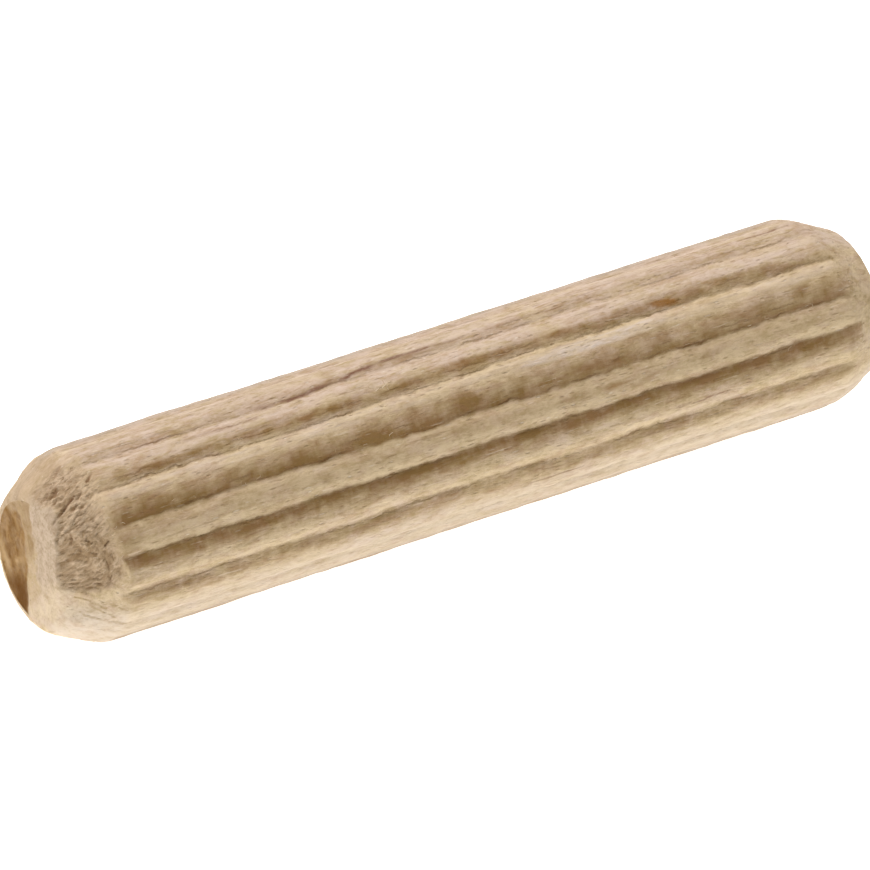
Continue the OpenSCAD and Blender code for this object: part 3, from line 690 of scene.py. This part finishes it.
def beech():
    mat = bpy.data.materials.new("beech")
    g = Graph(mat)
    streak = g.noise(g.stretched(0.34, 2.6, 2.6), 4, 0.60, 0.8)
    fibre = g.noise(g.stretched(2.2, 8.0, 8.0, (3, 1, 2)), 3, 0.65)
    mottle = g.noise(g.stretched(1.5, 2.4, 2.4, (7, 4, 1)), 5, 0.68, 0.3)
    grit = g.noise(g.stretched(5.0, 10.0, 10.0, (1, 8, 5)), 3, 0.65)
    hue = g.noise(g.stretched(0.8, 1.6, 1.6, (9, 3, 6)), 4, 0.65, 0.5)
    fleck_d, fleck_c = g.cells(g.stretched(2.0, 5.6, 5.6))
    sep = g.t.nodes.new("ShaderNodeSeparateColor"); g.t.links.new(fleck_c, sep.inputs[0])
    fleck = g.math("MULTIPLY", g.span(fleck_d, 0.36, 0.10), g.span(sep.outputs[0], 0.60, 0.70))
    speck = g.math("MULTIPLY", g.span(fleck_d, 0.26, 0.06), g.span(sep.outputs[1], 0.26, 0.16))

    hair = g.noise(g.stretched(0.55, 7.0, 7.0, (8, 2, 9)), 3, 0.6, 0.4)
    chat = g.noise(g.stretched(4.2, 1.1, 1.1, (5, 9, 2)), 3, 0.6)
    torn_at = g.t.nodes.new("ShaderNodeCombineXYZ")
    g.t.links.new(g.math("MULTIPLY", g.field("run"), 2.6), torn_at.inputs[0])
    g.t.links.new(g.math("MULTIPLY", g.field("lean"), 7.5), torn_at.inputs[1])
    shred = g.noise(torn_at.outputs[0], 4, 0.68, 0.5)

    # pale wood: straw coloured, rosier where the rosy field paints the tint of the light from above, broken up by short
    # grain
    light = g.mix(g.math("ADD", g.field("rosy"), g.span(hue, 0.35, 0.65, -0.28, 0.28), clamp=True), (0.765, 0.612, 0.402), (0.750, 0.602, 0.490))
    mid = g.mix(g.span(hue, 0.38, 0.62), (0.520, 0.388, 0.208), (0.545, 0.378, 0.232))
    tone = g.math("ADD", g.math("MULTIPLY", streak, 0.30), g.math("ADD", g.math("MULTIPLY", fibre, 0.24), g.math("MULTIPLY", mottle, 0.38)))
    tone = g.math("ADD", tone, g.math("MULTIPLY", grit, 0.16))
    col = g.mix(g.span(tone, 0.44, 0.70), light, mid)
    busy = g.math("SUBTRACT", 1.0, g.math("MULTIPLY", g.field("calm"), 0.6))
    col = g.mix(g.math("MULTIPLY", fleck, g.math("MULTIPLY", busy, 0.46)), col, (0.36, 0.235, 0.130))
    col = g.mix(g.math("MULTIPLY", speck, g.math("MULTIPLY", busy, 0.70)), col, (0.86, 0.76, 0.62))

    # painted fill light: paler on the underside
    col = g.mix(g.math("MULTIPLY", g.field("under"), g.span(tone, 0.44, 0.68, 0.85, 0.35)), col, (0.750, 0.648, 0.548))
    # painted sheen: greyer, darker top and bottom edges
    col = g.mix(g.math("MULTIPLY", g.field("edge_sheen"), 0.85), col, g.mix(g.span(tone, 0.44, 0.70), (0.512, 0.425, 0.350), (0.41, 0.332, 0.264)))
    col = g.mix(g.math("MULTIPLY", g.field("tan"), 0.8), col, g.mix(g.span(tone, 0.44, 0.70), (0.550, 0.405, 0.262), (0.43, 0.305, 0.182)))

    # brown along the valleys, partly stain and partly painted shade, blotchy at its edges
    b = g.field("brown")
    b = g.math("ADD", b, g.math("MULTIPLY", g.span(b, 0.02, 0.35), g.math("ADD", g.math("MULTIPLY", mottle, 0.22), g.math("ADD", g.math("MULTIPLY", fibre, 0.34), g.math("ADD", g.math("MULTIPLY", chat, 0.50), -0.54)))), clamp=True)
    olive = g.mix(g.span(hue, 0.40, 0.60), (0.300, 0.183, 0.066), (0.318, 0.184, 0.080))
    col = g.mix(b, col, olive)
    # painted shade: the thin dark crease lines in the valleys
    off = g.math("ADD", g.field("groove"), g.math("ADD", g.math("MULTIPLY", grit, 2.6), g.math("ADD", g.math("MULTIPLY", fibre, 1.8), -2.2)))
    main = g.math("MULTIPLY", g.span(g.math("ABSOLUTE", off), 0.95, 0.15), g.field("groove_k"))
    side = g.math("MULTIPLY", g.span(g.math("ABSOLUTE", g.math("SUBTRACT", off, 4.2)), 0.80, 0.15), g.field("groove_k2"))
    crease_shade = g.math("MULTIPLY", g.math("MAXIMUM", main, side), g.span(mottle, 0.36, 0.56, 0.55, 1.0))
    col = g.mix(crease_shade, col, (0.200, 0.113, 0.045))
    lines = g.math("MULTIPLY", g.span(hair, 0.61, 0.68), g.math("MULTIPLY", g.field("shank"), g.math("MULTIPLY", busy, 0.36)))
    col = g.mix(lines, col, (0.290, 0.175, 0.085))
    dash_d, dash_c = g.cells(g.stretched(1.05, 6.0, 6.0, (2, 7, 4)))
    dash_n = g.t.nodes.new("ShaderNodeSeparateColor"); g.t.links.new(dash_c, dash_n.inputs[0])
    dash = g.math("MULTIPLY", g.span(dash_d, 0.30, 0.14), g.span(dash_n.outputs[0], 0.74, 0.80))
    col = g.mix(g.math("MULTIPLY", g.math("MULTIPLY", dash, busy), g.math("MULTIPLY", g.field("shank"), 0.48)), col, (0.255, 0.150, 0.070))
    bright = g.math("MULTIPLY", g.span(dash_d, 0.24, 0.10), g.span(dash_n.outputs[1], 0.20, 0.14))
    col = g.mix(g.math("MULTIPLY", bright, g.math("SUBTRACT", 0.55, g.math("MULTIPLY", b, 0.35))), col, (0.84, 0.73, 0.58))
    col = g.mix(g.math("MULTIPLY", g.span(hair, 0.36, 0.28), 0.40), col, (0.80, 0.67, 0.52))
    # painted highlight on the upper edge of the second ridge
    col = g.mix(g.math("MULTIPLY", g.field("pale_highlight"), g.span(fibre, 0.30, 0.62, 0.25, 0.95)), col, (0.78, 0.665, 0.575))
    col = g.mix(g.math("MULTIPLY", g.field("orange"), g.span(mottle, 0.3, 0.6, 0.80, 1.0)), col, (0.325, 0.152, 0.036))
    col = g.mix(g.math("MULTIPLY", g.field("red"), g.span(grit, 0.25, 0.55, 0.65, 1.0)), col, (0.245, 0.125, 0.078))

    # near end
    chip = g.mix(g.field("torn_tone"), (0.390, 0.255, 0.135), (0.760, 0.580, 0.400))
    # torn fibres: painted shade where the bump sinks them and painted highlight on the raised ones
    col = g.mix(g.math("MULTIPLY", g.field("torn"), 0.85), col, g.mix(g.math("MULTIPLY", g.span(shred, 0.46, 0.64), 0.55), chip, (0.33, 0.205, 0.105)))
    col = g.mix(g.math("MULTIPLY", g.field("torn"), g.math("MULTIPLY", g.span(shred, 0.42, 0.30), 0.45)), col, (0.86, 0.72, 0.54))
    # painted shade along the far lip, and soft streaks on the chamfer
    col = g.mix(g.math("MULTIPLY", g.field("streaks_and_lip_shade"), g.span(grit, 0.3, 0.6, 0.6, 1.0)), col, (0.385, 0.265, 0.120))
    # painted shade in the gaps and splits of the torn chamfer, and dark specks on the face
    col = g.mix(g.math("MULTIPLY", g.field("torn_dark"), g.span(grit, 0.2, 0.6, 0.55, 1.0)), col, (0.26, 0.135, 0.062))
    clean = g.mix(g.span(tone, 0.44, 0.66), (0.590, 0.465, 0.345), (0.400, 0.290, 0.190))
    col = g.mix(g.math("MULTIPLY", g.field("smooth_face"), 0.85), col, clean)
    col = g.mix(g.math("MULTIPLY", g.field("step_brown"), g.span(mottle, 0.3, 0.65, 0.95, 0.6)), col, (0.320, 0.198, 0.078))
    burn = g.mix(g.span(g.noise(g.stretched(1.0, 2.4, 1.5, (2, 2, 2)), 5, 0.65, 0.9), 0.38, 0.62), (0.212, 0.103, 0.022), (0.345, 0.192, 0.062))
    col = g.mix(g.field("burnt"), col, burn)
    col = g.mix(g.field("burnt_dark"), col, (0.130, 0.046, 0.0))
    # painted highlights on the burnt patch and along its raised edge
    col = g.mix(g.math("MULTIPLY", g.field("burnt_highlight"), 0.7), col, (0.60, 0.42, 0.22))

    # sawn end grain: fine pores between pale rays
    pore_d, pore_c = g.cells(g.stretched(0.5, 7.0, 7.0, (4, 4, 4)))
    rays = g.noise(g.stretched(0.5, 9.0, 1.6, (6, 0, 3)), 2, 0.5)
    end = g.mix(g.span(rays, 0.35, 0.65), (0.46, 0.315, 0.185), (0.56, 0.42, 0.27))
    end = g.mix(g.span(pore_d, 0.32, 0.10, 0.0, 0.75), end, (0.21, 0.12, 0.06))
    col = g.mix(g.math("MULTIPLY", g.field("end_grain"), 0.9), col, end)

    g.t.links.new(col, g.bsdf.inputs["Base Color"])
    rough = g.math("ADD", 0.66, g.math("MULTIPLY", fibre, 0.26))
    rough = g.math("ADD", rough, g.math("MULTIPLY", g.field("burnt"), 0.06), clamp=True)
    g.t.links.new(rough, g.bsdf.inputs["Roughness"])
    g.bsdf.inputs["Specular IOR Level"].default_value = 0.12
    g.bsdf.inputs["Sheen Weight"].default_value = 0.03
    g.bsdf.inputs["Sheen Roughness"].default_value = 0.5
    g.bsdf.inputs["Sheen Tint"].default_value = (1.0, 0.97, 0.95, 1.0)

    height = g.math("ADD", g.math("MULTIPLY", fibre, 0.50), g.math("ADD", g.math("MULTIPLY", grit, 0.35), g.math("MULTIPLY", mottle, 0.55)))
    height = g.math("SUBTRACT", height, g.math("MULTIPLY", fleck, 0.30))
    height = g.math("SUBTRACT", height, g.math("MULTIPLY", crease_shade, 0.45))
    height = g.math("SUBTRACT", height, g.math("MULTIPLY", g.field("torn"), g.math("MULTIPLY", shred, 1.8)))
    bump = g.t.nodes.new("ShaderNodeBump")
    bump.inputs["Strength"].default_value = 0.85
    bump.inputs["Distance"].default_value = 0.00009
    g.t.links.new(height, bump.inputs["Height"])
    g.t.links.new(bump.outputs["Normal"], g.bsdf.inputs["Normal"])
    return mat


wood = beech()
me.materials.append(wood)
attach(pin, "root")
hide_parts("dowel_pin")

# ------------------------------------------------------------------ loose fibres
def at(x, theta, lift=0.0):
    """A point on the finished surface, lifted off it by so many mm, and the way out there."""
    i = int(np.clip(np.searchsorted(SX, x - HALF), 1, NS - 2))
    j = int(np.argmin(np.abs((THETA - theta + 180) % 360 - 180)))
    return P[i, j] + N[i, j] * lift, N[i, j]


def strand(points, r0, r1):
    """A closed three-sided fibre along a few points, thinner towards its free end."""
    pts = [Vector(p) for p in points]
    verts, faces = [], []
    for k, p in enumerate(pts):
        ahead = (pts[min(k + 1, len(pts) - 1)] - pts[max(k - 1, 0)]).normalized()
        side = ahead.cross(Vector((0.31, 0.52, 0.80))).normalized()
        other = ahead.cross(side)
        r = r0 + (r1 - r0) * k / (len(pts) - 1)
        for c in range(3):
            a = 2.0944 * c
            verts.append((p + (side * math.cos(a) + other * math.sin(a)) * r) * MM)
    for k in range(len(pts) - 1):
        for c in range(3):
            d = (c + 1) % 3
            faces.append((3 * k + c, 3 * k + d, 3 * k + 3 + d, 3 * k + 3 + c))
    faces.append((2, 1, 0)); n = 3 * (len(pts) - 1)
    faces.append((n, n + 1, n + 2))
    return verts, faces


def fibre_at(x, theta, length, turn, lift, rng):
    """Starts just under the surface at a place, runs over it at an angle to the axis, and lifts off."""
    a = math.radians(turn)
    pts = []
    bend = rng.uniform(-0.5, 0.5)
    for k in range(6):
        u = k / 5
        along = length * u * math.cos(a + bend * u)
        across = length * u * math.sin(a + bend * u) / 0.0716
        p, _ = at(x + along, theta + across, -0.02 + lift * u ** 1.5)
        pts.append(p)
    return pts


rng = np.random.default_rng(7)
fibre_list = [(15.95, 33.4, 0.42, 60, 0.08), (16.15, 35.0, 0.36, 20, 0.06), (15.5, 33.4, 0.32, 8, 0.05), (15.6, 34.2, 0.40, 160, 0.06), (16.1, 31.5, 0.30, 95, 0.09),
              (33.73, 4.8, 0.40, -56, 0.08), (24.9, 22.4, 0.7, 4, 0.05), (25.6, 23.4, 0.6, 6, 0.05), (24.0, 23.6, 0.8, 3, 0.05)]
for _ in range(210):
    place = rng.choice((49.25, 26.75, 26.75, 4.25, 4.25, -18.25, -40.75, 71.75, 94.25, 116.75, 139.25, 161.75, -175.75, -153.25, -130.75, -108.25))
    k = int(round((((place - UP) + 180) % 360 - 180) / PITCH)) + 8
    fibre_list.append((rng.uniform(2.6, 37.0), VALLEYS[k] + SHIFT[k] + rng.normal(0, 2.2), rng.uniform(0.14, 0.42), rng.normal(0, 22) + rng.choice((0, 180)), rng.uniform(0.02, 0.07)))
for _ in range(46):
    fibre_list.append((rng.uniform(0.15, 2.3), rng.uniform(-25, 56), rng.uniform(0.12, 0.34), rng.normal(14, 22) + rng.choice((0, 180)), rng.uniform(0.03, 0.09)))
fv, ff = [], []
for x, th, length, turn, lift in fibre_list:
    v, f = strand(fibre_at(x, th, length, turn, lift, rng), 0.034 if len(fv) < 18 * 9 else rng.uniform(0.016, 0.026), 0.007)
    ff += [tuple(q + len(fv) for q in face) for face in f]
    fv += v
fibre_me = bpy.data.meshes.new("loose_fibres")
fibre_me.from_pydata([tuple(v) for v in fv], [], ff)
fibre_me.update()
fibres = bpy.data.objects.new("loose_fibres", fibre_me)
bpy.context.scene.collection.objects.link(fibres)


def fibre_wood():
    mat = bpy.data.materials.new("beech_fibre")
    g = Graph(mat)
    n = g.noise(g.stretched(1.2, 2.0, 2.0), 2, 0.5)
    g.t.links.new(g.mix(g.span(n, 0.35, 0.65), (0.60, 0.455, 0.285), (0.82, 0.69, 0.50)), g.bsdf.inputs["Base Color"])
    g.t.links.new(g.math("ADD", 0.55, g.math("MULTIPLY", n, 0.2)), g.bsdf.inputs["Roughness"])
    return mat


fibre_me.materials.append(fibre_wood())
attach(fibres, "root")

# ------------------------------------------------------------------ floor and light
# A white light table under the pin and one soft box high up and a little behind it.
fme = bpy.data.meshes.new("floor")
s = 2.5; z = CAD_LO[2]
fme.from_pydata([(-s, -s, z), (s, -s, z), (s, s, z), (-s, s, z)], [], [(0, 1, 2, 3)])
floor = bpy.data.objects.new("floor", fme)
bpy.context.scene.collection.objects.link(floor)
fm = bpy.data.materials.new("floor_white")
fm.use_nodes = True
fb = fm.node_tree.nodes["Principled BSDF"]
fb.inputs["Base Color"].default_value = (0.85, 0.85, 0.85, 1)
fb.inputs["Roughness"].default_value = 0.9
fb.inputs["Specular IOR Level"].default_value = 0.0
fb.inputs["Emission Color"].default_value = (0.955, 0.978, 1.0, 1)
fb.inputs["Emission Strength"].default_value = 0.89
fme.materials.append(fm)
floor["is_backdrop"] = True


def soft_box(name, toward, distance, size, power, color=(1, 1, 1)):
    ld = bpy.data.lights.new(name, "AREA")
    ld.shape = "RECTANGLE"; ld.size, ld.size_y = size
    ld.energy = power; ld.color = color
    ob = bpy.data.objects.new(name, ld)
    bpy.context.scene.collection.objects.link(ob)
    toward = Vector(toward).normalized()
    ob.location = toward * distance
    ob.rotation_euler = toward.to_track_quat("Z", "Y").to_euler()
    return ob


def around(theta, along=0.0):
    """Direction square to the pin at an angle round it, leaning towards its far end by `along`."""
    a = math.radians(UP - theta)
    return Vector((along, -math.sin(a), math.cos(a)))


soft_box("top_box", around(72, -0.15), 0.60, (0.9, 0.45), 4.5, (0.985, 0.97, 1.0))

world = bpy.data.worlds.new("studio")
bpy.context.scene.world = world
world.use_nodes = True
bg = world.node_tree.nodes["Background"]
bg.inputs["Color"].default_value = (1.0, 0.88, 0.66, 1)
bg.inputs["Strength"].default_value = 0.22

bpy.context.scene.view_settings.view_transform = "Standard"
bpy.context.scene.view_settings.look = "None"
bpy.context.scene.view_settings.exposure = 0.0
bpy.context.scene.view_settings.gamma = 1.0
